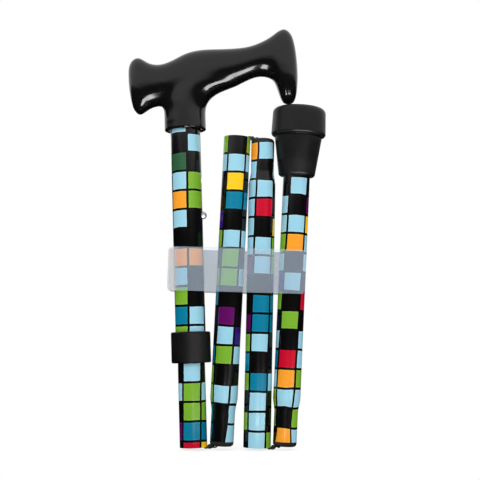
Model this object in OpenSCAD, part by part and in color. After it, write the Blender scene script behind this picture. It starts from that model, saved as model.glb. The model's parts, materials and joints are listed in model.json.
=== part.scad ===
// Folding cane, folded: four tube sections side by side, a moulded derby handle on the first,
// a rubber tip on the last, an elastic cord through all four and a clip around the bundle.
// Millimetres, +Z up. The origin is on the surface that the folded cane stands on,
// at the middle of its width and depth. The bundle lies in the XZ plane and faces -Y.

/* [Tubes] */
// Outside diameter of the four folding tubes
tube_d = 19; // [16:0.5:24]
// Wall of the folding tubes
tube_wall = 1.2; // [0.9:0.1:1.6]
// Wall of the upper tube, which slides over the first section
upper_wall = 1; // [0.7:0.1:1.5]
// Gap per side between the upper tube and the first section
slide_clear = 0.1; // [0.05:0.01:0.2]

/* [Sections] */
// Length of the first tube, from its open foot to its top inside the upper tube
first_len = 199; // [185:1:215]
// Fourth section from its plug to the sole of the tip
fourth_reach = 237.7; // [200:0.1:280]
// How much shorter the second section is, from its plug to its open mouth
second_drop = 21.1; // [18:0.1:24]
// Height of the upper tube's lower end above the foot
upper_foot = 65.6; // [55:0.1:80]

/* [Swaged ends] */
// Outside diameter of a drawn-down end
swage_d = 16.4; // [13:0.1:16.5]
// Length of a drawn-down end, plug included
swage_len = 24.5; // [18:0.5:32]
// Length of the cone back to the full tube
taper_len = 8; // [4:0.5:14]

/* [End plugs] */
// Thickness of the plug's flange, which caps the drawn-down end
plug_flange = 3.2; // [2.6:0.1:6]
// Radius of the flange's outer edge
plug_edge_r = 2.4; // [0.5:0.1:2.5]
// Length of the plug's spigot inside the tube
plug_spigot = 11; // [5:0.5:16]
// Diameter of the hole that the cord runs through
cord_hole_d = 6.4; // [5:0.1:8]

/* [Elastic cord] */
// Diameter of the cord inside the tubes
cord_d = 4; // [3:0.1:4.6]
// Thickness of the cord where it is drawn flat over a rim
cord_flat_t = 1; // [0.8:0.05:1.2]
// Width of the cord where it is drawn flat over a rim
cord_flat_w = 6; // [4:0.1:7]
// Thickness of the cord where it swells in the gap between two ends
cord_swell_t = 2.2; // [1.2:0.1:2.3]
// Depth in an open mouth at which the cord is back on the axis
cord_run_in = 40; // [34:1:60]
// Drop from the snap button to the upper cord anchor
anchor_drop = 63; // [50:1:90]

/* [Folded layout] */
// Lean of the first section, positive with the top to the right
first_lean = -1.73; // [-3:0.01:0]
// Lean of the second section
second_lean = 2.89; // [2.5:0.01:4]
// Lean of the third section
third_lean = 1.22; // [0:0.01:1.5]
// Lean of the fourth section
fourth_lean = 2.8; // [2:0.01:4]
// Distance between the tube axes at the first fold
fold_pitch_1 = 19.3; // [19:0.1:22]
// Distance between the tube axes at the second fold
fold_pitch_2 = 18.2; // [18.1:0.1:22]
// Distance between the tube axes at the third fold
fold_pitch_3 = 19.1; // [19:0.1:24]
// Step from an open end to the plug beside it at the first fold
fold_step_1 = 0.9; // [0:0.1:2]
// Step from an open end to the plug beside it at the second fold
fold_step_2 = 1.3; // [0:0.1:3]
// Step from an open end to the plug beside it at the third fold
fold_step_3 = 0.7; // [0:0.1:2]
// Height of the open ends' lowest edge above the surface
rim_height = 1.5; // [1.45:0.05:3]

/* [Handle] */
// Reach of the handle's nose from the tube axis
nose_reach = 39.6; // [34:0.1:45]
// Reach of the handle's horn from the tube axis
horn_reach = 81.2; // [70:0.1:84]
// Drop from the level of the tip's sole to the handle's lower rim
handle_drop = 16.3; // [12:0.1:16.5]
// Depth of the handle's socket
socket_depth = 22; // [16:0.5:26]
// Height of the handle from its lower rim to the top of its horn
handle_h = 72.4; // [68:0.1:80]
// Depth of the handle's arm at its widest
arm_depth = 28.4; // [24:0.1:34]
// Diameter of the handle's neck
neck_d = 29.7; // [26:0.1:32]
// Gap per side between the handle's socket and the upper tube
socket_clear = 0.05; // [0.02:0.01:0.2]

/* [Snap button] */
// Diameter of the snap button
button_d = 5.7; // [4:0.1:6.5]
// Height of the button above the upper tube's surface
button_proud = 3; // [1.5:0.1:4]
// Height of the button's axis above the foot
button_height = 161.2; // [150:0.1:175]
// Distance between the length settings
hole_pitch = 25.4; // [20:0.1:30]
// Settings below the button's own hole
holes_below = 2; // [1:1:2]
// Settings above the button's own hole
holes_above = 1; // [0:1:1]
// Length of the button's leaf spring below the button
spring_drop = 26; // [18:1:34]
// Thickness of the leaf spring
spring_t = 0.6; // [0.4:0.1:0.8]
// Width of the leaf spring
spring_w = 6; // [4:0.5:7]

/* [Lock ring] */
// Outside diameter of the lock ring
ring_d = 27.6; // [27:0.1:28]
// Height of the lock ring
ring_h = 21.6; // [18:0.1:26]
// Drop from the upper tube's lower end to the lock ring's lower face
ring_drop = 7.6; // [7:0.1:9]
// Radius of the lock ring's edges
ring_edge_r = 1.1; // [0.3:0.1:1.3]
// Wall of the collet bush around the upper tube
bush_wall = 1.6; // [1.2:0.1:1.8]

/* [Rubber tip] */
// Diameter of the tip's foot
tip_foot_d = 37.6; // [34:0.1:38]
// Height of the tip's foot
tip_foot_h = 18.5; // [14:0.5:20]
// Widening of the foot at the edge away from the sole
tip_flare = 0.5; // [0:0.1:0.8]
// Diameter of the tip's sleeve beside the foot
tip_neck_d = 33.2; // [30:0.1:33.4]
// Diameter of the tip's sleeve at its open end
tip_end_d = 26; // [23:0.1:28]
// Whole length of the tip
tip_len = 49; // [42:0.1:52]
// Thickness of the rubber under the tube
sole_t = 13; // [8:0.5:16]
// Thickness of the steel washer under the tube
washer_t = 1.2; // [0.8:0.1:2]

/* [Storage clip] */
// Height of the clip
clip_h = 30.6; // [24:0.1:32]
// Wall of the clip
clip_wall = 1.3; // [0.8:0.1:1.8]
// Gap between the clip and the upper tube in front and behind
clip_clear = 0.4; // [0.3:0.05:1]
// Distance from the middle of the clip's bend to its open end
clip_reach = 84; // [70:0.5:88]
// Distance from the middle of the clip's bend to the first section's axis
clip_offset = 2.7; // [2:0.1:6]
// Height of the clip's middle above the foot
clip_height = 123.2; // [115:0.1:130]
// Turn of the clip, positive with its open end down
clip_turn = 1.6; // [0:0.1:2.5]
// Radius of the clip's corners
clip_corner_r = 3.2; // [1:0.1:8]

/* [Hidden] */

// Overrun of every cut past the face it opens
over = 1;
// Sides of the round shapes
round_fn = 64;
// Sides and steps of the lofted shapes
arm_sides = 28;
arm_steps = 2;
cord_sides = 12;
cord_steps = 4;
// Steps of an arc in a profile
arc_steps = 6;
// Running gap between the lock ring and the collet bush
ring_clear = 0.1;
// Gap per side of a fit between pieces that stay together
fit_clear = 0.05;
// Gap between the faces of cord pieces, and between a flat cord and a rim
cord_gap = 0.05;
rim_gap = 0.12;
// Chamfer inside an open mouth
mouth_chamfer = 0.4;
// Depth of a snap hole's clearance around the button
button_clear = 0.15;

tube_r = tube_d / 2;
bore_r = tube_r - tube_wall;
upper_bore_r = tube_r + slide_clear;
upper_r = upper_bore_r + upper_wall;
swage_r = swage_d / 2;
swage_bore_r = swage_r - tube_wall;
cone_end = swage_len + taper_len;
cord_r = cord_d / 2;

// Sizes that follow from the ones above
second_len = fourth_reach - second_drop;
handle_foot = fourth_reach - handle_drop;
upper_top = handle_foot + socket_depth;
ring_foot = upper_foot - ring_drop;
anchor_height = button_height - anchor_drop;

// Directions of the four axes in the XZ plane, each from foot to top
function axis_of(lean) = [sin(lean), cos(lean)];
function across_of(lean) = [cos(lean), -sin(lean)];
u1 = axis_of(first_lean);
u2 = axis_of(second_lean);
u3 = axis_of(third_lean);
u4 = axis_of(fourth_lean);

// Ends of the sections in the XZ plane, before the bundle is centred on the origin.
// The first and third sections stand level on the edges of their open mouths.
mouth_1 = [0, rim_height + tube_r * abs(sin(first_lean))];
foot_2 = mouth_1 + [fold_pitch_1, fold_step_1];
mouth_2 = foot_2 + second_len * u2;
top_3 = mouth_2 + [fold_pitch_2, -fold_step_2];
mouth_3_z = rim_height + tube_r * abs(sin(third_lean));
third_len = (top_3[1] - mouth_3_z) / cos(third_lean);
mouth_3 = top_3 - third_len * u3;
foot_4 = mouth_3 + [fold_pitch_3, fold_step_3];
fourth_len = fourth_reach - sole_t - washer_t;

// Middle of the width between the handle's nose and the tip's far edge
nose_height_share = 0.57;
nose_tip = mouth_1 + (handle_foot + nose_height_share * handle_h) * u1
         - nose_reach * across_of(first_lean);
tip_edge = foot_4 + (fourth_reach - tip_foot_h) * u4
         + (tip_foot_d / 2 + tip_flare) * across_of(fourth_lean);
middle_x = (nose_tip[0] + tip_edge[0]) / 2;

// Handle's arm from nose to horn: place along its length, lower line, upper line and depth
arm_shares = [
    [0.000, 0.530, 0.610, 0.10], [0.003, 0.442, 0.660, 0.30], [0.010, 0.352, 0.690, 0.48],
    [0.025, 0.242, 0.728, 0.68], [0.055, 0.183, 0.753, 0.86], [0.085, 0.197, 0.735, 0.92],
    [0.126, 0.245, 0.690, 0.94], [0.173, 0.266, 0.673, 0.95], [0.216, 0.270, 0.684, 0.96],
    [0.274, 0.280, 0.724, 0.98], [0.340, 0.290, 0.780, 1.00], [0.413, 0.300, 0.809, 1.00],
    [0.478, 0.322, 0.815, 0.99], [0.522, 0.374, 0.814, 0.97], [0.594, 0.422, 0.813, 0.93],
    [0.668, 0.471, 0.818, 0.88], [0.726, 0.515, 0.833, 0.85], [0.776, 0.534, 0.861, 0.84],
    [0.823, 0.522, 0.898, 0.84], [0.859, 0.480, 0.937, 0.85], [0.882, 0.372, 0.967, 0.86],
    [0.896, 0.298, 0.982, 0.87], [0.912, 0.256, 0.995, 0.87], [0.928, 0.245, 1.000, 0.86],
    [0.945, 0.243, 0.988, 0.83], [0.963, 0.250, 0.959, 0.77], [0.976, 0.274, 0.916, 0.69],
    [0.987, 0.322, 0.845, 0.57], [0.995, 0.402, 0.740, 0.40], [1.000, 0.500, 0.610, 0.14]];

// Handle's neck from its rim up: height, left edge, right edge and depth,
// the edges and the depth in neck radii
neck_shares = [
    [0.000, 0.84, 0.84, 0.84], [0.010, 0.92, 0.92, 0.92], [0.024, 0.98, 0.98, 0.98],
    [0.040, 1.00, 1.00, 1.00], [0.200, 1.00, 1.00, 1.00], [0.235, 1.03, 1.03, 1.00],
    [0.268, 1.09, 1.08, 1.00], [0.300, 1.14, 1.18, 0.995], [0.322, 1.18, 1.28, 0.99],
    [0.374, 1.30, 1.60, 0.985], [0.422, 1.45, 2.18, 0.98], [0.471, 1.60, 2.78, 0.972],
    [0.560, 1.55, 2.60, 0.953]];

// Roundness of the arm's cross-sections, where 2 is an ellipse
arm_power = 2.3;
neck_power = 2;

// Shapes shared by the pieces

function arc(x, y, r, from, to) =
    [for (i = [0 : arc_steps]) let (a = from + (to - from) * i / arc_steps) [x + r * cos(a), y + r * sin(a)]];

function signed_power(v, p) = sign(v) * pow(abs(v), p);

// Smooth curve through rows of numbers
function curve_row(a, b, c, d, t) =
    b + t / 2 * ((c - a) + t * ((2 * a - 5 * b + 4 * c - d) + t * (3 * (b - c) + d - a)));
function curve(rows, steps) = [
    for (i = [0 : len(rows) - 2], s = [0 : steps - 1])
        curve_row(rows[max(i - 1, 0)], rows[i], rows[i + 1], rows[min(i + 2, len(rows) - 1)], s / steps),
    rows[len(rows) - 1]];

// Closed skin over rings of points, all with the same number of points
module skin(rings) {
    n = len(rings[0]);
    last = len(rings) - 1;
    sides = [for (i = [0 : last - 1], j = [0 : n - 1], k = [0, 1])
        let (a = i * n + j, b = i * n + (j + 1) % n)
            k == 0 ? [a, b, b + n] : [a, b + n, a + n]];
    caps = [[for (j = [n - 1 : -1 : 0]) j], [for (j = [0 : n - 1]) last * n + j]];
    polyhedron(points = [for (r = rings) each r], faces = concat(sides, caps), convexity = 4);
}

// Places a section's own frame, with its Z along the tube, at a point of the XZ plane
module place(point, turn) {
    translate([point[0] - middle_x, 0, point[1]])
        rotate([0, turn, 0])
            children();
}
module on_first() place(mouth_1, first_lean) children();
module on_second() place(foot_2, second_lean) children();
module on_third() place(top_3, third_lean + 180) children();
module on_fourth() place(foot_4, fourth_lean) children();

// Tube with a drawn-down end at its foot and an open mouth at its top
module swaged_tube(length) {
    rotate_extrude($fn = round_fn)
        polygon([
            [swage_bore_r, plug_flange], [swage_r, plug_flange], [swage_r, swage_len],
            [tube_r, cone_end], [tube_r, length], [bore_r + mouth_chamfer, length],
            [bore_r, length - mouth_chamfer], [bore_r, cone_end], [swage_bore_r, swage_len]]);
}

// Moulded plug in a drawn-down end, with a rounded rim and a flared hole for the cord
module end_plug() {
    hole_r = cord_hole_d / 2;
    spigot_r = swage_bore_r - fit_clear;
    flare_r = plug_flange / 2;
    color("#1b1b1d")
        rotate_extrude($fn = round_fn)
            polygon(concat(
                arc(hole_r + flare_r, flare_r, flare_r, 180, 270),
                arc(swage_r - plug_edge_r, plug_edge_r, plug_edge_r, 270, 360),
                [[swage_r, plug_flange], [spigot_r, plug_flange],
                 [spigot_r, plug_flange + plug_spigot], [hole_r, plug_flange + plug_spigot]]));
}

// Straight stretch of cord along a section's axis
module cord_run(from, to) {
    color("#111112")
        translate([0, 0, from])
            cylinder(r = cord_r, h = to - from, $fn = round_fn);
}

// Bobbin pressed into a tube, which the end of the cord is drawn through
anchor_h = 10;
anchor_waist_share = 0.75;
anchor_flange_share = 0.25;
module cord_anchor() {
    r = bore_r - fit_clear;
    flange = anchor_h * anchor_flange_share;
    color("#d9d6cc")
        difference() {
            rotate_extrude($fn = round_fn)
                polygon([
                    [0, 0], [r, 0], [r, flange], [r * anchor_waist_share, flange],
                    [r * anchor_waist_share, anchor_h - flange], [r, anchor_h - flange],
                    [r, anchor_h], [0, anchor_h]]);
            translate([0, 0, -over])
                cylinder(r = cord_r + fit_clear, h = anchor_h + 2 * over, $fn = round_fn);
        }
}

// Metal sleeve crimped on the end of the cord, which rests on the anchor
ferrule_h = 8;
ferrule_wall = 0.9;
module cord_ferrule() {
    inner = cord_r + fit_clear;
    color("#a9abad")
        rotate_extrude($fn = round_fn)
            polygon([
                [inner, 0], [inner + ferrule_wall, 0], [inner + ferrule_wall, ferrule_h - ferrule_wall],
                [inner, ferrule_h], [0, ferrule_h], [0, ferrule_h - ferrule_wall],
                [inner, ferrule_h - ferrule_wall]]);
}

// Cord where it leaves an open mouth, lies flat over the rims and enters the plug beside it.
// out points out of the mouth, side points to the neighbour, into points up the plug's hole.
mouth_depth_share = 0.6;
plug_depth_shares = [0.6, 0.8];
plug_lip_share = 0.25;
swell_share = 0.38;
module cord_bend(mouth, out, side, plug, into) {
    flat = [cord_flat_t / 2, cord_flat_w / 2];
    full = [cord_r, cord_r];
    half = (flat + full) / 2;
    under = rim_gap + cord_flat_t / 2;
    deep = plug_flange + plug_spigot + cord_r;
    edge_in = mouth + out * under + side * (bore_r - mouth_chamfer);
    edge_out = mouth + out * under + side * (tube_r + rim_gap);
    plug_edge = plug + out * under - side * (swage_r - plug_edge_r);
    between = edge_out + (plug_edge - edge_out) * swell_share;
    swell = between - out * ((between - mouth) * out - under / 2);
    plug_lip = plug + out * under - side * (cord_hole_d / 2 + plug_flange * plug_lip_share);
    plug_in = plug + into * cord_flat_t - side * (cord_hole_d / 2 - cord_flat_t / 2 - 2 * rim_gap);
    rows = [
        concat(mouth - out * cord_run_in, full),
        concat(mouth - out * cord_run_in * mouth_depth_share, full),
        concat(mouth - out * tube_r + side * (bore_r / 2), half),
        concat(mouth - out * cord_flat_t + side * (bore_r - mouth_chamfer - cord_flat_t), flat),
        concat(edge_in, flat), concat(edge_out, flat),
        concat(swell, [cord_swell_t / 2, cord_flat_w / 2]),
        concat(plug_edge, flat), concat(plug_lip, flat),
        concat(plug_in, [cord_flat_t / 2, cord_r]),
        for (share = plug_depth_shares) concat(plug + into * deep * share, full),
        concat(plug + into * deep, full)];
    path = curve(rows, cord_steps);
    last = len(path) - 1;
    color("#111112")
        translate([-middle_x, 0, 0])
            skin([for (i = [0 : last])
                let (p = path[i],
                     step = path[min(i + 1, last)] - path[max(i - 1, 0)],
                     along = [step[0], step[1]] / norm([step[0], step[1]]))
                    [for (k = [0 : cord_sides - 1])
                        let (a = 360 * k / cord_sides, t = p[2] * cos(a))
                            [p[0] - along[1] * t, p[3] * sin(a), p[1] + along[0] * t]]]);
}

// Handle section

handle_len = nose_reach + horn_reach;

module handle_arm() {
    rows = curve(arm_shares, arm_steps);
    skin([for (row = rows)
        let (x = row[0] * handle_len - nose_reach,
             z = handle_foot + (row[1] + row[2]) / 2 * handle_h,
             high = (row[2] - row[1]) / 2 * handle_h,
             deep = row[3] * arm_depth / 2)
            [for (k = [0 : arm_sides - 1])
                let (a = -360 * k / arm_sides)
                    [x, deep * signed_power(cos(a), 2 / arm_power),
                     z + high * signed_power(sin(a), 2 / arm_power)]]]);
}

module handle_neck() {
    neck_r = neck_d / 2;
    rows = curve(neck_shares, arm_steps);
    skin([for (row = rows)
        let (middle = (row[2] - row[1]) / 2 * neck_r,
             wide = (row[2] + row[1]) / 2 * neck_r,
             deep = row[3] * neck_r)
            [for (k = [0 : arm_sides - 1])
                let (a = -360 * k / arm_sides)
                    [middle + wide * signed_power(cos(a), 2 / neck_power),
                     deep * signed_power(sin(a), 2 / neck_power),
                     handle_foot + row[0] * handle_h]]]);
}

module handle() {
    color("#141415")
        on_first()
            difference() {
                union() {
                    handle_arm();
                    handle_neck();
                }
                translate([0, 0, handle_foot - over])
                    cylinder(r = upper_r + socket_clear, h = upper_top - handle_foot + over + fit_clear,
                             $fn = round_fn);
            }
}

module button_hole(height) {
    translate([0, 0, height])
        rotate([0, 90, 0])
            cylinder(d = button_d + 2 * button_clear, h = upper_r + over, $fn = round_fn);
}

module upper_tube() {
    color("#4d86a8")
        on_first()
            difference() {
                translate([0, 0, upper_foot])
                    cylinder(r = upper_r, h = upper_top - upper_foot, $fn = round_fn);
                translate([0, 0, upper_foot - over])
                    cylinder(r = upper_bore_r, h = upper_top - upper_foot + 2 * over, $fn = round_fn);
                for (i = [-holes_below : holes_above])
                    button_hole(button_height + i * hole_pitch);
            }
}

// Split bush on the end of the upper tube, whose fingers grip the first section
bush_slots = 4;
bush_slot_w = 1.6;
bush_lip = 1.2;
bush_taper = 1;
module collet_bush() {
    outer = upper_r + fit_clear + bush_wall;
    grip = tube_r + slide_clear;
    low = ring_foot + bush_lip + ring_clear;
    top = ring_foot + ring_h - ring_edge_r;
    color("#1b1b1d")
        on_first()
            difference() {
                rotate_extrude($fn = round_fn)
                    polygon([
                        [grip, low], [outer - bush_taper, low], [outer, upper_foot], [outer, top],
                        [upper_r + fit_clear, top], [upper_r + fit_clear, upper_foot - fit_clear],
                        [grip, upper_foot - fit_clear]]);
                for (i = [0 : bush_slots - 1])
                    rotate([0, 0, (i + 1 / 2) * 360 / bush_slots])
                        translate([0, -bush_slot_w / 2, low - over])
                            cube([outer + over, bush_slot_w, upper_foot - low]);
            }
}

module lock_ring() {
    outer = ring_d / 2;
    inner = upper_r + fit_clear + bush_wall + ring_clear;
    top = ring_foot + ring_h;
    lip = ring_foot + bush_lip;
    color("#1b1b1d")
        on_first()
            rotate_extrude($fn = round_fn)
                polygon(concat(
                    [[tube_r + slide_clear, ring_foot]],
                    arc(outer - ring_edge_r, ring_foot + ring_edge_r, ring_edge_r, 270, 360),
                    arc(outer - ring_edge_r, top - ring_edge_r, ring_edge_r, 0, 90),
                    [[inner, top], [inner, upper_foot], [inner - bush_taper, lip],
                     [tube_r + slide_clear, lip]]));
}

// First section

module first_tube() {
    color("#4d86a8")
        on_first()
            difference() {
                rotate_extrude($fn = round_fn)
                    polygon([
                        [bore_r + mouth_chamfer, 0], [tube_r, 0], [tube_r, first_len],
                        [bore_r, first_len], [bore_r, mouth_chamfer]]);
                button_hole(button_height);
            }
}

// Button's collar inside the tube
button_collar_t = 0.8;
button_collar_w = 0.7;
module snap_button() {
    r = button_d / 2;
    top = upper_r + button_proud;
    collar_r = r + button_collar_w;
    seat = sqrt(bore_r * bore_r - collar_r * collar_r) - fit_clear;
    color("#c9cbcd")
        on_first()
            translate([0, 0, button_height])
                rotate([0, 90, 0])
                    rotate_extrude($fn = round_fn)
                        polygon(concat(
                            [[0, seat - button_collar_t], [collar_r, seat - button_collar_t],
                             [collar_r, seat], [r, seat]],
                            arc(0, top - r, r, 0, 90)));
}

// Bent leaf that pushes the button out, with its bend below the button
module snap_spring() {
    collar_r = button_d / 2 + button_collar_w;
    right = sqrt(bore_r * bore_r - collar_r * collar_r) - 2 * fit_clear - button_collar_t;
    left = sqrt(bore_r * bore_r - spring_w * spring_w / 4) - fit_clear;
    bend_r = (right + left) / 2;
    leg = spring_drop + collar_r;
    color("#8f9194")
        on_first()
            translate([(right - left) / 2, spring_w / 2, button_height - spring_drop])
                rotate([90, 0, 0])
                    linear_extrude(spring_w)
                        union() {
                            difference() {
                                circle(r = bend_r, $fn = round_fn);
                                circle(r = bend_r - spring_t, $fn = round_fn);
                                translate([-bend_r - over, 0])
                                    square([2 * (bend_r + over), bend_r + over]);
                            }
                            for (x = [-bend_r, bend_r - spring_t])
                                translate([x, 0])
                                    square([spring_t, leg]);
                        }
}

module cord_anchor_top() on_first() translate([0, 0, anchor_height]) cord_anchor();
module cord_ferrule_top() on_first() translate([0, 0, anchor_height + anchor_h]) cord_ferrule();
module cord_run_1() on_first() cord_run(cord_run_in + cord_gap, anchor_height + anchor_h + ferrule_h / 2);

// Second, third and fourth sections

module second_tube() color("#4d86a8") on_second() swaged_tube(second_len);
module third_tube() color("#4d86a8") on_third() swaged_tube(third_len);
module fourth_tube() color("#4d86a8") on_fourth() swaged_tube(fourth_len);
module end_plug_2() on_second() end_plug();
module end_plug_3() on_third() end_plug();
module end_plug_4() on_fourth() end_plug();

cord_start = plug_flange + plug_spigot + cord_r + cord_gap;
module cord_run_2() on_second() cord_run(cord_start, second_len - cord_run_in - cord_gap);
module cord_run_3() on_third() cord_run(cord_start, third_len - cord_run_in - cord_gap);

// Place of the lower anchor on the fourth section, under the washer
anchor_tip_drop = 30;
tip_anchor_z = fourth_len - anchor_tip_drop;
module cord_anchor_tip() on_fourth() translate([0, 0, tip_anchor_z]) cord_anchor();
module cord_ferrule_tip() on_fourth() translate([0, 0, tip_anchor_z + anchor_h]) cord_ferrule();
module cord_run_4() on_fourth() cord_run(cord_start, tip_anchor_z + anchor_h + ferrule_h / 2);

module cord_bend_1() cord_bend(mouth_1, -u1, across_of(first_lean), foot_2, u2);
module cord_bend_2() cord_bend(mouth_2, u2, across_of(second_lean), top_3, -u3);
module cord_bend_3() cord_bend(mouth_3, -u3, across_of(third_lean), foot_4, u4);

// Rubber tip and its washer

tip_edge_r = 4;
tip_lip_r = 1.8;
tip_shoulder_r = 0.8;
tip_groove_w = 0.9;
tip_end_r = 1.9;
groove_count = 2;
groove_w = 2;
groove_depth = 1.6;
groove_step = 4;
module rubber_tip() {
    foot_r = tip_foot_d / 2;
    edge_r = foot_r + tip_flare;
    open_end = fourth_reach - tip_len;
    shoulder = fourth_reach - tip_foot_h;
    lip = shoulder - tip_lip_r;
    sleeve_top = lip - tip_groove_w;
    sleeve_r = tip_neck_d / 2;
    seat = fourth_reach - sole_t;
    bore = tube_r + fit_clear;
    color("#1a1a1b")
        on_fourth()
            difference() {
                rotate_extrude($fn = round_fn)
                    polygon(concat(
                        [[bore, open_end]],
                        arc(tip_end_d / 2 - tip_end_r, open_end + tip_end_r, tip_end_r, 270, 360),
                        arc(sleeve_r - tip_shoulder_r, sleeve_top - tip_shoulder_r, tip_shoulder_r, 0, 90),
                        [[sleeve_r - tip_shoulder_r, lip]],
                        arc(edge_r - tip_lip_r, shoulder, tip_lip_r, 270, 360),
                        arc(foot_r - tip_edge_r, fourth_reach - tip_edge_r, tip_edge_r, 0, 90),
                        [[0, fourth_reach], [0, seat], [bore, seat]]));
                for (i = [1 : groove_count])
                    translate([0, 0, fourth_reach - groove_depth])
                        difference() {
                            cylinder(r = foot_r - tip_edge_r - (i - 1) * groove_step - groove_w / 2,
                                     h = groove_depth + over, $fn = round_fn);
                            translate([0, 0, -over])
                                cylinder(r = foot_r - tip_edge_r - (i - 1) * groove_step - 3 * groove_w / 2,
                                         h = groove_depth + 3 * over, $fn = round_fn);
                        }
            }
}

module tip_washer() {
    color("#a9abad")
        on_fourth()
            translate([0, 0, fourth_len])
                cylinder(r = tube_r, h = washer_t - fit_clear, $fn = round_fn);
}

// Spring clip, bent round the first section and open beside the fourth

module storage_clip() {
    inner = upper_r + clip_clear;
    outer = inner + clip_wall;
    middle = mouth_1 + clip_height * u1 - clip_offset * across_of(first_lean);
    color("#c8ccd2", 0.5)
        place(middle, clip_turn)
            intersection() {
                translate([0, 0, -clip_h / 2])
                    linear_extrude(clip_h)
                        difference() {
                            union() {
                                circle(r = outer, $fn = round_fn);
                                translate([0, -outer])
                                    square([clip_reach, 2 * outer]);
                            }
                            union() {
                                circle(r = inner, $fn = round_fn);
                                translate([0, -inner])
                                    square([clip_reach + over, 2 * inner]);
                            }
                        }
                translate([0, outer + over, 0])
                    rotate([90, 0, 0])
                        linear_extrude(2 * (outer + over))
                            clip_face(outer);
            }
}

// Front outline of the clip, with round corners
module clip_face(outer) {
    length = outer + clip_reach;
    translate([-outer, -clip_h / 2])
        union() {
            translate([clip_corner_r, 0])
                square([length - 2 * clip_corner_r, clip_h]);
            translate([0, clip_corner_r])
                square([length, clip_h - 2 * clip_corner_r]);
            for (x = [clip_corner_r, length - clip_corner_r], z = [clip_corner_r, clip_h - clip_corner_r])
                translate([x, z])
                    circle(r = clip_corner_r, $fn = round_fn);
        }
}

handle();
upper_tube();
collet_bush();
lock_ring();
first_tube();
snap_button();
snap_spring();
storage_clip();
second_tube();
third_tube();
fourth_tube();
end_plug_2();
end_plug_3();
end_plug_4();
cord_anchor_top();
cord_ferrule_top();
cord_anchor_tip();
cord_ferrule_tip();
cord_run_1();
cord_run_2();
cord_run_3();
cord_run_4();
cord_bend_1();
cord_bend_2();
cord_bend_3();
rubber_tip();
tip_washer();
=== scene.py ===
"""Looks of the folding cane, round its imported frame: finishes, a smooth handle, braided cord and studio."""

import json
import math

import bmesh
import bpy
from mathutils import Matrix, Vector


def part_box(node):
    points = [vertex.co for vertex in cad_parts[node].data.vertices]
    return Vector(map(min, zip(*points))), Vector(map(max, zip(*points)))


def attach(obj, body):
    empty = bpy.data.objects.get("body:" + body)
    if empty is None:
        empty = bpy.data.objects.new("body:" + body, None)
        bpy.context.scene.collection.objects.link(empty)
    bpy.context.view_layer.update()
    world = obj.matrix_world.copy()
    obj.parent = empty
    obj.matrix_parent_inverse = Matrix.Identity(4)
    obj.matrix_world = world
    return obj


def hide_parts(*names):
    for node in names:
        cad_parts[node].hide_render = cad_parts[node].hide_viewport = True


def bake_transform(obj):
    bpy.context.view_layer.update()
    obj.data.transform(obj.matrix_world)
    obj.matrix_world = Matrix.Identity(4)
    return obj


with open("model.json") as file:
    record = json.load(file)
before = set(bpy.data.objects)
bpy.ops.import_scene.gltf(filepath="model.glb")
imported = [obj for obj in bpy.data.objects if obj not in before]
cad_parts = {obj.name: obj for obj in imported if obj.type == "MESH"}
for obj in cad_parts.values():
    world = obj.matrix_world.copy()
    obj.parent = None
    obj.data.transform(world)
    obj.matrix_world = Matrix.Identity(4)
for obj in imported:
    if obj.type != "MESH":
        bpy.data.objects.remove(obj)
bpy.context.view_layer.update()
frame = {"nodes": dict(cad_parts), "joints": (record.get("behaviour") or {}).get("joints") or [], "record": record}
nodes = frame["nodes"]
joints = {joint["name"]: joint for joint in frame["joints"]}
mounts = {mount["name"]: mount for mount in frame["record"]["mounts"]}
bodies = frame["record"]["behaviour"]["bodies"]
body_of = {node: body for body, members in bodies.items() for node in members}


# Shader maths


class Value:
    """A value that varies over a surface. Arithmetic on it adds Math nodes to its tree."""

    def __init__(self, shading, socket):
        self.shading = shading
        self.socket = socket

    def math(self, operation, *values):
        return self.shading.add("ShaderNodeMath", {"operation": operation}, dict(enumerate(values)))

    def __add__(self, other):
        return self.math("ADD", self, other)

    def __radd__(self, other):
        return self.math("ADD", other, self)

    def __sub__(self, other):
        return self.math("SUBTRACT", self, other)

    def __rsub__(self, other):
        return self.math("SUBTRACT", other, self)

    def __mul__(self, other):
        return self.math("MULTIPLY", self, other)

    def __rmul__(self, other):
        return self.math("MULTIPLY", other, self)

    def __truediv__(self, other):
        return self.math("DIVIDE", self, other)

    def __rtruediv__(self, other):
        return self.math("DIVIDE", other, self)

    def floor(self):
        return self.math("FLOOR", self)

    def size(self):
        return self.math("ABSOLUTE", self)

    def sine(self):
        return self.math("SINE", self)

    def over(self, limit):
        return self.math("GREATER_THAN", self, limit)

    def least(self, other):
        return self.math("MINIMUM", self, other)

    def most(self, other):
        return self.math("MAXIMUM", self, other)

    def edge_distance(self):
        """Distance to the nearest whole number."""
        return self.math("PINGPONG", self, 0.5)

    def rise(self, low, high, start=0.0, end=1.0):
        """Smooth step from start at low to end at high."""
        return self.shading.add(
            "ShaderNodeMapRange",
            {"interpolation_type": "SMOOTHSTEP"},
            {"Value": self, "From Min": low, "From Max": high, "To Min": start, "To Max": end},
        )


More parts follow.
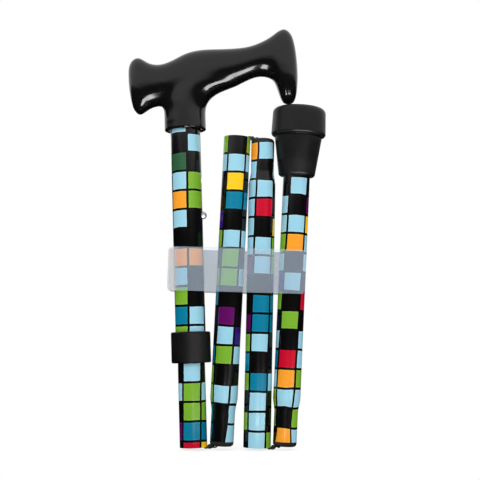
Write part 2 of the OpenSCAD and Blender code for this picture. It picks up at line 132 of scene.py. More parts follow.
class Shading:
    """A node tree whose nodes are added with their settings and sockets in one call."""

    def __init__(self, tree):
        self.tree = tree

    def add(self, kind, settings=None, sockets=None, output=0):
        """Adds a node with its settings, then the values or links of its sockets, and gives one output."""
        node = self.tree.nodes.new(kind)
        for name, setting in (settings or {}).items():
            if name == "stops":
                self.set_stops(node.color_ramp, setting)
            else:
                setattr(node, name, setting)
        for name, value in (sockets or {}).items():
            if isinstance(value, Value):
                self.tree.links.new(value.socket, node.inputs[name])
            else:
                node.inputs[name].default_value = value
        return Value(self, node.outputs[output])

    def set_stops(self, ramp, stops):
        """Gives a ramp its colours, each of which holds as far as the next."""
        ramp.interpolation = "CONSTANT"
        while len(ramp.elements) < len(stops):
            ramp.elements.new(1.0)
        for element, (place, colour) in zip(ramp.elements, stops):
            element.position = place
            element.color = colour

    def spot(self, origin=(0, 0, 0), turn=0.0, scale=(1, 1, 1)):
        """Object coordinates in a frame of a piece's own, turned about Y."""
        coordinates = self.add("ShaderNodeTexCoord", output="Object")
        return self.add(
            "ShaderNodeMapping",
            {"vector_type": "TEXTURE"},
            {"Vector": coordinates, "Location": origin, "Rotation": (0, turn, 0), "Scale": scale},
        )

    def part(self, vector, axis):
        return self.add("ShaderNodeSeparateXYZ", None, {"Vector": vector}, axis)

    def join(self, x, y, z):
        return self.add("ShaderNodeCombineXYZ", None, {"X": x, "Y": y, "Z": z})

    def length(self, vector):
        return self.add("ShaderNodeVectorMath", {"operation": "LENGTH"}, {0: vector}, "Value")

    def noise(self, vector, scale=1.0, detail=2.0, roughness=0.5):
        return self.add(
            "ShaderNodeTexNoise",
            None,
            {"Vector": vector, "Scale": scale, "Detail": detail, "Roughness": roughness},
        )

    def chance(self, vector):
        """A random number for each place."""
        return self.add("ShaderNodeTexWhiteNoise", {"noise_dimensions": "3D"}, {"Vector": vector})

    def blend(self, share, first, second, mode="MIX"):
        """Mixes two colours."""
        return self.add(
            "ShaderNodeMix",
            {"data_type": "RGBA", "blend_type": mode},
            {0: share, 6: first, 7: second},
            2,
        )


class Finish(Shading):
    """A procedural material on a Principled shader, whose plain numbers are set on its own sockets."""

    def __init__(self, name, **sockets):
        self.material = bpy.data.materials.new(name)
        self.material.use_nodes = True
        super().__init__(self.material.node_tree)
        self.shader = self.tree.nodes["Principled BSDF"]
        for socket, value in sockets.items():
            self.shader.inputs[socket.replace("_", " ")].default_value = value

    def feed(self, socket, value):
        self.tree.links.new(value.socket, self.shader.inputs[socket])

    def bump(self, height, strength, distance):
        sockets = {"Height": height, "Strength": strength, "Distance": distance}
        self.feed("Normal", self.add("ShaderNodeBump", None, sockets))

    def surface(self, shader):
        """Puts another shader in the place of the Principled one."""
        self.tree.links.new(shader.socket, self.tree.nodes["Material Output"].inputs["Surface"])
        self.tree.nodes.remove(self.shader)


def tint(code):
    """Linear colour of a six-digit web colour."""
    parts = [int(code[i : i + 2], 16) / 255 for i in (0, 2, 4)]
    return tuple(p / 12.92 if p <= 0.04045 else ((p + 0.055) / 1.055) ** 2.4 for p in parts) + (1.0,)


def shade(red, green, blue):
    """Linear colour of a finish."""
    return (red, green, blue, 1.0)


WHITE = shade(1, 1, 1)
BLACK = shade(0, 0, 0)


# Tubes


def radius_of(node):
    """Outside radius of a round node that lies along the XZ plane."""
    low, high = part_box(node)
    return (high.y - low.y) / 2


def plug_centre(node):
    low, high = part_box(node)
    return (low + high) / 2


TUBE_R = radius_of("second_tube")
UPPER_R = radius_of("upper_tube")
SWAGE_R = radius_of("end_plug_2")
TUBE_WALL = 0.0012
UPPER_WALL = 0.0010
# Ends of the cone behind a drawn-down end, from the middle of the plug in it
CONE_START = 0.0174
CONE_END = 0.0254

# A point on each tube's middle line, and the line's direction
first_point, first_axis = Vector(joints["ring_turn"]["pos_m"]), Vector(joints["ring_turn"]["axis"])
second_point, second_axis = plug_centre("end_plug_2"), -Vector(joints["plug_1"]["axis"])
third_point, third_axis = plug_centre("end_plug_3"), Vector(joints["plug_3"]["axis"])
fourth_point, fourth_axis = plug_centre("end_plug_4"), Vector(mounts["tip_sole"]["axis"])


# Printed film

SQUARE = 0.01345
LINE = 0.00088
# Sizes of the patches in which the print wanders, the ink varies, the metal is drawn and the gloss is smeared
WAVER_SIZE = (0.016, 0.016, 0.022)
RIPPLE_SIZE = (0.004, 0.004, 0.004)
INK_SIZE = (0.03, 0.03, 0.05)
DRAWING_SIZE = (0.0008, 0.0008, 0.04)
SMEAR_SIZE = (0.006, 0.006, 0.03)
# How far the print wanders in squares, all over, more so near a drawn-down end, and in small ripples
WANDER_ACROSS = (0.06, 0.5, 0.03)
WANDER_ALONG = (0.07, 0.25, 0.04)
# Distances from the drawn-down end between which the print settles
SETTLING = (0.004, 0.052)
SEED_SPACING = 0.1
BARE_METAL = (shade(0.52, 0.53, 0.55), shade(0.70, 0.71, 0.72))
METAL_ROUGH = 0.34
FILM_SMOOTHER = 0.22
SMEAR_ROUGH = 0.10
FILM_COAT = 0.18

SKY, TEAL, LEAF, FOREST = tint("94cade"), tint("047696"), tint("75aa2e"), tint("2b5738")
YELLOW, ORANGE, NAVY, PURPLE = tint("f9c31a"), tint("f79a2a"), tint("062b7c"), tint("5b0759")
INDIGO, CRIMSON, INK = tint("2c1175"), tint("c20628"), tint("090808")

# Colours of the squares with their shares
UPPER_COLOURS = (
    (ORANGE, 14), (LEAF, 10), (INK, 18), (FOREST, 18), (SKY, 15), (YELLOW, 5), (TEAL, 13), (NAVY, 9),
)
LOWER_COLOURS = (
    (SKY, 30), (INK, 31), (LEAF, 13), (TEAL, 9), (YELLOW, 6), (ORANGE, 4), (INDIGO, 3), (PURPLE, 3),
    (CRIMSON, 2),
)


def colour_steps(colours):
    """Stops of a stepped ramp in which each colour has its share."""
    total = sum(share for colour, share in colours)
    place, stops = 0.0, []
    for colour, share in colours:
        stops.append((place, colour))
        place += share / total
    return stops


def printed_film(name, point, axis, radius, wall, colours, seed, shift, twist, swage=0):
    """Gloss film of coloured squares with black lines round a tube, over bare aluminium inside.
    shift is in squares round and along the tube, twist in squares round it for each metre along it.
    swage is 1 or -1 where the drawn-down end lies at the point and the tube runs on along axis
    or against it."""
    finish = Finish(name, Coat_Roughness=0.06, IOR=1.37)
    turn = math.atan2(axis[0], axis[2])
    place = finish.spot(point, turn)
    x, y, z = (finish.part(place, i) for i in range(3))
    from_axis = finish.length(finish.join(x, y, 0.0))
    angle = x.math("ARCTAN2", x, 0 - y)

    drawn, middle = 0.0, radius - wall / 2
    if swage:
        depth = z * swage
        drawn = depth.rise(*SETTLING, 1.0, 0.0)
        middle = finish.add(
            "ShaderNodeMapRange",
            {"clamp": True},
            {
                "Value": depth,
                "From Min": CONE_START,
                "From Max": CONE_END,
                "To Min": SWAGE_R - wall / 2,
                "To Max": radius - wall / 2,
            },
        )

    apart = seed * SEED_SPACING
    waver = finish.noise(finish.spot((apart, 0, 0), scale=WAVER_SIZE), detail=1.0) - 0.5
    ripple = finish.noise(finish.spot((0, apart, 0), scale=RIPPLE_SIZE), detail=1.0) - 0.5
    across_drift, along_drift = (
        waver * (plain + drawn * more) + ripple * small
        for plain, more, small in (WANDER_ACROSS, WANDER_ALONG)
    )
    across = angle * (radius / SQUARE) + z * twist + shift[0] + across_drift
    along = z / SQUARE + shift[1] + along_drift

    pick = finish.chance(finish.join(across.floor(), along.floor(), float(seed)))
    squares = finish.add("ShaderNodeValToRGB", {"stops": colour_steps(colours)}, {"Fac": pick})
    seam = (math.pi - angle.size()) * radius
    margin = (across.edge_distance().least(along.edge_distance()) * SQUARE).least(seam)
    uneven = finish.noise(finish.spot(scale=INK_SIZE)).rise(0.3, 0.7, 0.0, 0.10)
    squares = finish.blend(uneven, squares, WHITE, "SOFT_LIGHT")
    pale_rim = margin.rise(LINE, LINE * 1.8, 0.6, 0.0)
    squares = finish.blend(pale_rim, squares, WHITE, "SOFT_LIGHT")
    film = finish.blend(margin.rise(LINE * 0.8, LINE * 1.15), INK, squares)

    skin = (from_axis - middle).over(0.0)
    metal = finish.blend(finish.noise(finish.spot(turn=turn, scale=DRAWING_SIZE)), *BARE_METAL)
    finish.feed("Base Color", finish.blend(skin, metal, film))
    finish.feed("Metallic", 1 - skin)
    smear = finish.noise(finish.spot(turn=turn, scale=SMEAR_SIZE), detail=3.0)
    finish.feed("Roughness", METAL_ROUGH - skin * FILM_SMOOTHER + smear * SMEAR_ROUGH)
    finish.feed("Coat Weight", skin * FILM_COAT)
    relief = margin.rise(LINE * 0.6, LINE * 1.4) * 0.4 + smear * 0.35
    finish.bump(relief * skin, strength=0.10, distance=0.0003)
    return finish.material


upper_film = printed_film(
    "upper_film", first_point, first_axis, UPPER_R, UPPER_WALL, UPPER_COLOURS,
    seed=1, shift=(0.14, 0.74), twist=-1.1,
)
first_film = printed_film(
    "first_film", first_point, first_axis, TUBE_R, TUBE_WALL, LOWER_COLOURS,
    seed=2, shift=(0.60, 0.65), twist=-3.0,
)
second_film = printed_film(
    "second_film", second_point, second_axis, TUBE_R, TUBE_WALL, LOWER_COLOURS,
    seed=3, shift=(0.70, 0.36), twist=-1.3, swage=1,
)
third_film = printed_film(
    "third_film", third_point, third_axis, TUBE_R, TUBE_WALL, LOWER_COLOURS,
    seed=4, shift=(0.30, 0.68), twist=-1.3, swage=-1,
)
fourth_film = printed_film(
    "fourth_film", fourth_point, fourth_axis, TUBE_R, TUBE_WALL, LOWER_COLOURS,
    seed=5, shift=(0.71, 0.56), twist=-2.1, swage=1,
)


# Other finishes, each with the colours between which it varies

HANDLE_BLACK = (shade(0.0030, 0.0030, 0.0032), shade(0.0055, 0.0055, 0.0058))
HANDLE_ROUGH = 0.13
WIPE_SIZE = (0.05, 0.004, 0.004)
WIPE_TURN = 0.5
RING_BLACK = (shade(0.0028, 0.0028, 0.0029), shade(0.0046, 0.0046, 0.0048))
# Dark grey that is partly the plugs' own near-black and partly painted sheen
PLUG_GREY_WITH_SHEEN = (shade(0.0180, 0.0178, 0.0182), shade(0.0290, 0.0285, 0.0290))
RUBBER_BLACK = (shade(0.0045, 0.0045, 0.0047), shade(0.0080, 0.0080, 0.0083))
RUBBER_ROUGH = 0.34
CLIP_FRONT = (shade(0.52, 0.63, 0.76), shade(0.60, 0.71, 0.84))
# Painted shade: the back leg, in the shadow between the legs, is given a darker colour than the front
CLIP_BACK_SHADE = shade(0.34, 0.37, 0.41)
# Painted highlight: the bend at the closed end is given a near-white colour
CLIP_BEND_HIGHLIGHT = shade(0.84, 0.85, 0.87)
# Opacity of each face of the clip's front leg, what the back leg's painted shade and the bend's painted
# highlight add to it, and what the back leg loses of that in the bend
CLIP_OPACITY = 0.18
BACK_SHADE_OPACITY = 0.26
BEND_HIGHLIGHT_OPACITY = 0.18
BACK_SHADE_LOSS = 0.16
# Depths between which the front leg turns into the back leg, and the bend's ends from the closed end
CLIP_DEPTHS = (0.0, 0.008)
CLIP_BEND_ENDS = (0.003, 0.010)
CLIP_ROUGH = 0.24
BUTTON_STEEL = (shade(0.48, 0.48, 0.49), shade(0.62, 0.62, 0.63))
SPRING_STEEL = (shade(0.34, 0.34, 0.36), shade(0.50, 0.51, 0.53))
STEEL_LINES = (0.0004, 0.0004, 0.004)
ANCHOR_CREAM = (shade(0.62, 0.60, 0.52), shade(0.74, 0.72, 0.65))
ANCHOR_ROUGH = 0.42
# Blacks of the braid's grooves and crests: painted shade between the strands and painted light on them
BRAID_BLACK = (shade(0.003, 0.003, 0.0032), shade(0.013, 0.013, 0.0135))
BRAID_PITCH = 0.0011
BRAID_ROUGH = 0.55


def gloss_moulding():
    """Glossy black plastic of the handle, with a trace of shrink and handling marks."""
    finish = Finish("gloss_moulding", IOR=1.44)
    place = finish.spot()
    cloud = finish.noise(place, scale=55.0, detail=3.0)
    fine = finish.noise(place, scale=900.0)
    wipe = finish.noise(finish.spot(turn=WIPE_TURN, scale=WIPE_SIZE), detail=3.0)
    finish.feed("Base Color", finish.blend(cloud, *HANDLE_BLACK))
    finish.feed("Roughness", HANDLE_ROUGH + wipe.rise(0.45, 0.75, 0.0, 0.05) + cloud * 0.04)
    finish.bump(cloud * 0.8 + fine * 0.04, strength=0.04, distance=0.0006)
    return finish.material


def matt_moulding(name, blacks, rough):
    """Matt black plastic with a fine spark-eroded grain and paler rubbed places."""
    finish = Finish(name, IOR=1.46, Specular_IOR_Level=0.25)
    place = finish.spot()
    grain = finish.noise(place, scale=2600.0, detail=3.0, roughness=0.6)
    cloud = finish.noise(place, scale=90.0, detail=3.0)
    finish.feed("Base Color", finish.blend(cloud.rise(0.35, 0.7), *blacks))
    finish.feed("Roughness", rough - cloud * 0.10 + grain * 0.06)
    finish.bump(grain, strength=0.22, distance=0.00012)
    return finish.material


def tip_rubber():
    """Moulded black rubber with a dull bloom and faint mould marks."""
    finish = Finish("tip_rubber", IOR=1.45, Specular_IOR_Level=0.35)
    place = finish.spot()
    grain = finish.noise(place, scale=1700.0, detail=4.0, roughness=0.65)
    bloom = finish.noise(place, scale=70.0, detail=4.0, roughness=0.6).rise(0.40, 0.75)
    finish.feed("Base Color", finish.blend(bloom, *RUBBER_BLACK))
    finish.feed("Roughness", RUBBER_ROUGH + bloom * 0.10 + grain * 0.06)
    finish.bump(grain * 0.7 + bloom * 0.4, strength=0.20, distance=0.00018)
    return finish.material


def milky_plastic():
    """Milky see-through plastic of the storage clip, with painted shade that makes its back leg darker and less
    clear, and a painted highlight that makes its bend white.
    """
    finish = Finish("milky_plastic", IOR=1.49)
    place = finish.spot()
    cloud = finish.noise(place, scale=45.0, detail=3.0)
    fine = finish.noise(place, scale=700.0, detail=3.0)
    # Painted shade: this mask darkens the back leg and makes it less clear
    behind = finish.part(place, 1).rise(*CLIP_DEPTHS)
    closed_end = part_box("storage_clip")[0].x
    bend_start, bend_end = (closed_end + end for end in CLIP_BEND_ENDS)
    # Painted highlight: this mask whitens the bend at the closed end and makes it less clear
    bend = finish.part(place, 0).rise(bend_start, bend_end, 1.0, 0.0)
    leg = finish.blend(behind, finish.blend(cloud, *CLIP_FRONT), CLIP_BACK_SHADE)
    finish.feed("Base Color", finish.blend(bend, leg, CLIP_BEND_HIGHLIGHT))
    # Painted shade also makes the back leg less clear, less so inside the bend's painted highlight
    back_shade_extra = behind * (BACK_SHADE_OPACITY - bend * BACK_SHADE_LOSS)
    finish.feed("Alpha", CLIP_OPACITY + cloud * 0.02 + back_shade_extra + bend * BEND_HIGHLIGHT_OPACITY)
    finish.feed("Roughness", CLIP_ROUGH + fine * 0.12)
    finish.bump(cloud * 0.5, strength=0.06, distance=0.0004)
    finish.material.blend_method = "BLEND"
    return finish.material


def steel(name, greys, rough):
    """Bare steel with fine drawing lines and cloudy wear."""
    finish = Finish(name, Metallic=1.0)
    lines = finish.noise(finish.spot(scale=STEEL_LINES), detail=3.0)
    cloud = finish.noise(finish.spot(), scale=300.0, detail=3.0)
    finish.feed("Base Color", finish.blend(cloud, *greys))
    finish.feed("Roughness", rough + lines * rough * 0.8)
    finish.bump(lines, strength=0.05, distance=0.00005)
    return finish.material


def natural_plastic():
    """Uncoloured moulded plastic of the hidden cord anchors."""
    finish = Finish("natural_plastic", IOR=1.5)
    cloud = finish.noise(finish.spot(), scale=160.0, detail=3.0)
    finish.feed("Base Color", finish.blend(cloud, *ANCHOR_CREAM))
    finish.feed("Roughness", ANCHOR_ROUGH + cloud * 0.12)
    finish.bump(cloud, strength=0.08, distance=0.0002)
    return finish.material


def braided_cover(name, run, width):
    """Black braid of the elastic cord: strands that cross along its run. run and width are axis numbers."""
    finish = Finish(name, Sheen_Weight=0.25, Sheen_Roughness=0.5)
    place = finish.spot()
    far, side = finish.part(place, run), finish.part(place, width)
    rate = 2 * math.pi / BRAID_PITCH
    strand = ((far + side) * rate).sine().most(((far - side) * rate).sine())
    dust = finish.noise(place, scale=900.0, detail=3.0)
    # Painted shade and highlight: the braid is darker in the grooves between strands and lighter on their crests
    finish.feed("Base Color", finish.blend(strand.rise(-0.2, 1.0), *BRAID_BLACK))
    finish.feed("Roughness", BRAID_ROUGH + dust * 0.25)
    finish.bump(strand + dust * 0.2, strength=0.5, distance=0.00012)
    return finish.material


handle_gloss = gloss_moulding()
ring_moulding = matt_moulding("ring_moulding", RING_BLACK, rough=0.50)
plug_moulding = matt_moulding("plug_moulding", PLUG_GREY_WITH_SHEEN, rough=0.38)
rubber = tip_rubber()
clip_plastic = milky_plastic()
button_steel = steel("button_steel", BUTTON_STEEL, rough=0.34)
spring_steel = steel("spring_steel", SPRING_STEEL, rough=0.22)
pale_plastic = natural_plastic()
flat_braid = braided_cover("flat_braid", run=0, width=1)
round_braid = braided_cover("round_braid", run=2, width=0)


# Pieces

MERGE_DISTANCE = 1e-6
# Angles in degrees: faces that count as flat, edges that shade sharp, and edges that are eased
FLAT_ANGLE = 0.05
CREASE_ANGLE = 32
EASED_ANGLE = 40
# Widths of the eased edges
TUBE_EDGE = 0.00015
RING_EDGE = 0.0002
CLIP_EDGE = 0.00025
BUTTON_EDGE = 0.0001
TIP_EDGE = 0.0002
# Distance of the loops that hold the shading beside each end of a drawn-down cone
HOLD_LOOP = 0.0015
# The handle's skin: its grain, the place of its fillet in shares of its box, the fillet's reach and fade,
# and the rounds of smoothing all over and in the fillet
SKIN_GRAIN = 0.0009
FILLET_X = 0.40
FILLET_Z = 0.45
FILLET_REACH = 0.050
FILLET_FADE = 0.030
SMOOTH_FACTOR = 0.5
FLOW_ROUNDS = 8
FILLET_ROUNDS = 60
# Rounding of the neck's foot in the CAD solid and in the moulding, which has a crisper edge,
# the heights between which the straightened foot runs out into the neck, and the slope of its underside
FOOT_ROUND = 0.0029
CRISP_ROUND = 0.0010
FOOT_BAND = (0.0040, 0.0060)
UNDERSIDE = -0.75
# The cord's swelling beside a mouth: how far outside the fold's axis it starts, its added height,
# half its length and the depth over which it sets in
BEND_DROP = 0.0010
BEND_SWELL = 0.0013
BEND_REACH = 0.0045
BEND_EASE = 0.0006


def new_piece(name, mesh, finish):
    piece = bpy.data.objects.new(name, mesh)
    bpy.context.scene.collection.objects.link(piece)
    mesh.materials.clear()
    mesh.materials.append(finish)
    return piece


def merged(node):
    """A bmesh of a CAD node's solid with its triangles joined."""
    solid = bmesh.new()
    solid.from_mesh(nodes[node].data)
    bmesh.ops.remove_doubles(solid, verts=solid.verts, dist=MERGE_DISTANCE)
    return solid


def take_mesh(solid, name, crease=None):
    """Ends a bmesh as a smooth-shaded mesh, sharp where faces meet at more than the crease."""
    for face in solid.faces:
        face.smooth = True
    if crease:
        for edge in solid.edges:
            edge.smooth = edge.calc_face_angle(0.0) < math.radians(crease)
    mesh = bpy.data.meshes.new(name)
    solid.to_mesh(mesh)
    solid.free()
    if "custom_normal" in mesh.attributes:
        mesh.attributes.remove(mesh.attributes["custom_normal"])
    return mesh


def stand_in(piece, node):
    """A finished piece takes the place of a CAD node and rides on its body."""
    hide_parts(node)
    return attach(piece, body_of[node])


def hold_curve(solid, point, axis):
    """Cuts loops beside the ends of a drawn-down cone, so that the shading turns only there."""
    for place in (CONE_START, CONE_END):
        for beside in (-HOLD_LOOP, HOLD_LOOP):
            bmesh.ops.bisect_plane(
                solid,
                geom=solid.verts[:] + solid.edges[:] + solid.faces[:],
                plane_co=point + axis * (place + beside),
                plane_no=axis,
            )


def dressed(node, name, finish, soften=0.0, swaged=None):
    """A smooth-shaded copy of a CAD node's solid, with its hard edges eased.
    swaged is a point and an axis that lead from a drawn-down end into its tube."""
    solid = merged(node)
    flat = math.radians(FLAT_ANGLE)
    bmesh.ops.dissolve_limit(solid, angle_limit=flat, verts=solid.verts, edges=solid.edges)
    if swaged:
        hold_curve(solid, *swaged)
    piece = new_piece(name, take_mesh(solid, name, CREASE_ANGLE), finish)
    if soften:
        ease = piece.modifiers.new("eased_edges", "BEVEL")
        ease.width = soften
        ease.segments = 2
        ease.limit_method = "ANGLE"
        ease.angle_limit = math.radians(EASED_ANGLE)
    even = piece.modifiers.new("even_shading", "WEIGHTED_NORMAL")
    even.keep_sharp = True
    return stand_in(piece, node)


def baked(piece):
    """The piece with its modifiers applied to its mesh."""
    shown = piece.evaluated_get(bpy.context.evaluated_depsgraph_get())
    mesh = bpy.data.meshes.new_from_object(shown)
    piece.modifiers.clear()
    piece.data = mesh
    return piece


def out_from_neck(spot):
    """Vector to a spot from the nearest point on the middle line of the neck and its tube."""
    offset = spot - first_point
    return offset - first_axis * offset.dot(first_axis)


def above_foot(piece):
    """Heights of the handle's vertices above the foot of its neck."""
    heights = [(vertex.co - first_point).dot(first_axis) for vertex in piece.data.vertices]
    foot = min(heights)
    return [height - foot for height in heights]


def crisp_foot(piece):
    """Draws the rounded foot of the neck out to the straight side and crisp edge that the photo shows."""
    vertices = piece.data.vertices
    heights = above_foot(piece)
    slopes = [vertex.normal.dot(first_axis) for vertex in vertices]
    outs = [out_from_neck(vertex.co) for vertex in vertices]
    straight, free = FOOT_BAND
    side = sorted(out.length for out, height in zip(outs, heights) if straight < height < free)
    neck = side[-len(side) // 4]
    edge = max(out.length for out, height in zip(outs, heights) if height < CRISP_ROUND / 2)
    for vertex, height, slope, out in zip(vertices, heights, slopes, outs):
        if height > free or out.length < UPPER_R + UPPER_WALL:
            continue
        rise = min(1.0, height / CRISP_ROUND)
        reach = neck - CRISP_ROUND * (1 - math.sqrt(1 - (1 - rise) ** 2))
        if slope < UNDERSIDE:
            stretch = (reach - UPPER_R) / (edge - UPPER_R)
            reach = min(reach, UPPER_R + (out.length - UPPER_R) * stretch)
        share = min(1.0, (free - height) / (free - straight))
        vertex.co += out.normalized() * (reach - out.length) * share


def smooth_handle():
    """The handle as one flowing moulding, without the seam where its arm and neck were joined."""
    piece = new_piece("handle_moulding", take_mesh(merged("handle"), "handle_moulding"), handle_gloss)
    remesh = piece.modifiers.new("one_skin", "REMESH")
    remesh.mode = "VOXEL"
    remesh.voxel_size = SKIN_GRAIN
    remesh.use_smooth_shade = True
    baked(piece)
    low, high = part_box("handle")
    joint_x = low.x + (high.x - low.x) * FILLET_X
    joint_z = low.z + (high.z - low.z) * FILLET_Z
    flow, fillet = (piece.vertex_groups.new(name=name) for name in ("flow", "fillet"))
    for vertex, height in zip(piece.data.vertices, above_foot(piece)):
        away = math.hypot(vertex.co.x - joint_x, vertex.co.z - joint_z)
        flow.add([vertex.index], min(1.0, max(0.0, height / FOOT_ROUND - 1)), "REPLACE")
        fillet.add([vertex.index], min(1.0, max(0.0, (FILLET_REACH - away) / FILLET_FADE)), "REPLACE")
    for name, rounds in (("flow", FLOW_ROUNDS), ("fillet", FILLET_ROUNDS)):
        smooth = piece.modifiers.new(name, "SMOOTH")
        smooth.factor = SMOOTH_FACTOR
        smooth.iterations = rounds
        smooth.vertex_group = name
    baked(piece)
    crisp_foot(piece)
    return stand_in(piece, "handle")


def flexing_spring():
    """The leaf behind the snap button, kept in its rest place; its near leg, which goes in with the button, is not
    moved.
    """
    mesh = take_mesh(merged("snap_spring"), "snap_spring_leaf", CREASE_ANGLE)
    piece = new_piece("snap_spring_leaf", mesh, spring_steel)
    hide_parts("snap_spring")
    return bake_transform(piece)


def braided_bend(number, out):
    """A bend of the elastic cord, swollen beside the mouths and kept in its rest place.
    out is 1 where the bend lies above its tubes and -1 where it lies below them."""
    node = "cord_bend_" + number
    pivot = Vector(joints["fold_" + number]["pos_m"])
    piece = new_piece(node + "_braid", take_mesh(merged(node), node + "_braid"), flat_braid)
    finer = piece.modifiers.new("finer", "SUBSURF")
    finer.subdivision_type = "SIMPLE"
    finer.levels = 1
    finer.render_levels = 1
    baked(piece)
    for vertex in piece.data.vertices:
        inward = (pivot.z - vertex.co.z) * out + BEND_DROP
        aside = abs(vertex.co.x - pivot.x - BEND_SWELL / 2) / BEND_REACH
        if inward > 0 and aside < 1:
            vertex.co.z -= out * BEND_SWELL * (1 - aside * aside) * min(1.0, inward / BEND_EASE)
    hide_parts(node)
    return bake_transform(piece)


smooth_handle()
for tube, film, swaged in (
    ("upper_tube", upper_film, None),
    ("first_tube", first_film, None),
    ("second_tube", second_film, (second_point, second_axis)),
    ("third_tube", third_film, (third_point, -third_axis)),
    ("fourth_tube", fourth_film, (fourth_point, fourth_axis)),
):
    dressed(tube, tube + "_printed", film, TUBE_EDGE, swaged)
dressed("lock_ring", "lock_ring_moulding", ring_moulding, RING_EDGE)
dressed("collet_bush", "collet_bush_moulding", plug_moulding)
dressed("storage_clip", "storage_clip_strip", clip_plastic, CLIP_EDGE)
dressed("snap_button", "snap_button_dome", button_steel, BUTTON_EDGE)
flexing_spring()
dressed("rubber_tip", "rubber_tip_moulding", rubber, TIP_EDGE)
dressed("tip_washer", "tip_washer_disc", spring_steel)
for number in "234":
    dressed("end_plug_" + number, "end_plug_" + number + "_moulding", plug_moulding)
for end in ("top", "tip"):
    dressed("cord_anchor_" + end, "cord_anchor_" + end + "_bobbin", pale_plastic)
    dressed("cord_ferrule_" + end, "cord_ferrule_" + end + "_sleeve", spring_steel)
for number in "1234":
    dressed("cord_run_" + number, "cord_run_" + number + "_braid", round_braid)

braided_bend("1", -1)
braided_bend("2", 1)
braided_bend("3", -1)


# Studio

SENSOR = 36
CLIPPING = (0.05, 20)
VIEW_WIDTH = 0.338
VIEW_MIDDLE = Vector((0.0094, 0.0, 0.1458))
EYE = Vector((0.0094, -0.78, 0.0683))
# Name, place, aim, size and power of each lamp
LAMPS = (
    ("key", (-0.45, -1.1, 0.75), (0, 0, 0.14), (0.8, 0.8), 7.0),
    ("fill", (0.75, -0.9, 0.45), (0, 0, 0.14), (0.6, 0.9), 3.55),
    ("top", (0.0, 0.1, 1.3), (0, 0, 0.1), (1.0, 1.0), 3.9),
)
WORLD_LIGHT = 0.52
FLOOR_SIZE = 4.0
PAPER = shade(0.92, 0.92, 0.92)
PAPER_GLOW = 0.35
# How much of the floor the camera sees at the object's foot, and the distances between which that fades
SHADOW_SHARE = 0.34
SHADOW_EDGE = (0.05, 0.13)
# Height of the side flags, and heights between which the front flag turns from black to white
SIDE_TOP = 0.34
FRONT_FADE = (0.24, 0.56)
WINDOW_WHITE = shade(1, 0.98, 0.98)
WINDOW_STRENGTH = 18.0


def camera():
    data = bpy.data.cameras.new("photo_view")
    data.sensor_width = SENSOR
    data.lens = SENSOR * (VIEW_MIDDLE - EYE).length / VIEW_WIDTH
    data.clip_start, data.clip_end = CLIPPING
    view = bpy.data.objects.new("photo_view", data)
    view.location = EYE
    view.rotation_euler = (VIEW_MIDDLE - EYE).to_track_quat("-Z", "Y").to_euler()
    bpy.context.scene.collection.objects.link(view)
    bpy.context.scene.camera = view


def lamp(name, place, aim, size, power):
    data = bpy.data.lights.new(name, "AREA")
    data.shape = "RECTANGLE"
    data.size, data.size_y = size
    data.energy = power
    light = bpy.data.objects.new(name, data)
    light.location = place
    light.rotation_euler = (Vector(aim) - Vector(place)).to_track_quat("-Z", "Y").to_euler()
    light.visible_glossy = False
    bpy.context.scene.collection.objects.link(light)


def seen_white(shading):
    """1 for the rays that see the studio itself, which are camera, glossy and transmission rays."""
    camera_ray = shading.add("ShaderNodeLightPath", output="Is Camera Ray")
    path = camera_ray.socket.node
    glossy = Value(shading, path.outputs["Is Glossy Ray"])
    through = Value(shading, path.outputs["Is Transmission Ray"])
    return camera_ray.most(glossy).most(through)


def studio_piece(name, sheet, finish):
    """Ends a bmesh as a piece of the studio."""
    mesh = bpy.data.meshes.new(name)
    sheet.to_mesh(mesh)
    sheet.free()
    return new_piece(name, mesh, finish.material)


def white_world():
    world = bpy.data.worlds.new("studio")
    bpy.context.scene.world = world
    world.use_nodes = True
    shading = Shading(world.node_tree)
    back = shading.tree.nodes["Background"]
    back.inputs["Color"].default_value = WHITE
    level = seen_white(shading).rise(0.0, 1.0, WORLD_LIGHT, 1.0)
    shading.tree.links.new(level.socket, back.inputs["Strength"])


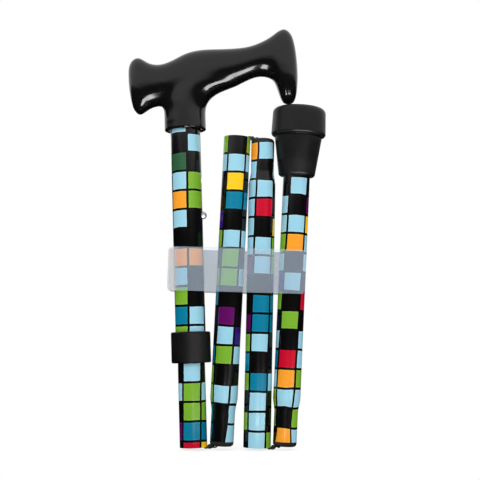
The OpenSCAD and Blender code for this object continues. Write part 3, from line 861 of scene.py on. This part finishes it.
def white_floor():
    """White paper with the object's shadow. The camera sees it only near the foot, and through it
    where sections open below it."""
    finish = Finish("studio_white")
    seen = seen_white(finish)
    shown = finish.length(finish.spot()).rise(*SHADOW_EDGE, SHADOW_SHARE, 0.0)
    paper = finish.add("ShaderNodeBsdfDiffuse", None, {"Color": PAPER})
    glow = finish.add("ShaderNodeEmission", None, {"Color": seen, "Strength": PAPER_GLOW})
    lit_paper = finish.add("ShaderNodeAddShader", None, {0: paper, 1: glow})
    clear = finish.add("ShaderNodeBsdfTransparent")
    finish.surface(
        finish.add("ShaderNodeMixShader", None, {0: seen * (1 - shown), 1: lit_paper, 2: clear})
    )
    sheet = bmesh.new()
    bmesh.ops.create_grid(sheet, x_segments=1, y_segments=1, size=FLOOR_SIZE)
    studio_piece("studio_floor", sheet, finish)


def upright(start, end, low, high):
    """Corners of a card that stands over the line from start to end."""
    return (*start, low), (*end, low), (*end, high), (*start, high)


def level_card(left, right, near, far, height):
    """Corners of a card that lies flat at a height."""
    return (left, near, height), (right, near, height), (right, far, height), (left, far, height)


def card(name, corners, colour=BLACK, strength=0.0, fade=None):
    """A flat card that only reflections see.
    fade gives the heights between which it turns from black to white."""
    finish = Finish(name + "_face")
    if fade:
        colour = finish.part(finish.spot(), 2).rise(*fade)
    finish.surface(finish.add("ShaderNodeEmission", None, {"Color": colour, "Strength": strength}))
    sheet = bmesh.new()
    sheet.faces.new([sheet.verts.new(corner) for corner in corners])
    board = studio_piece(name, sheet, finish)
    board.visible_camera = False
    board.visible_diffuse = False
    board.visible_transmission = False
    board.visible_shadow = False


camera()
white_world()
white_floor()
for settings in LAMPS:
    lamp(*settings)
card("front_flag", upright((-1.6, -1.0), (1.6, -1.0), 0, 0.6), strength=1.0, fade=FRONT_FADE)
card("left_flag", upright((-0.7, -1.0), (-0.5, 1.2), 0, SIDE_TOP))
card("right_flag", upright((0.7, -1.0), (0.5, 1.2), 0, SIDE_TOP))
card("floor_flag", level_card(-0.7, 0.7, -1.0, 3.0, 0.001))
for name, left, right in (("arm_window", 0.15, 0.26), ("nose_window", -0.02, 0.06)):
    card(name, level_card(left, right, -0.34, -0.10, 0.003), WINDOW_WHITE, WINDOW_STRENGTH)
card("strip_shade", upright((-0.2, -0.09), (0.44, -0.09), 0.002, 0.032))

bpy.context.scene.view_settings.view_transform = "Standard"
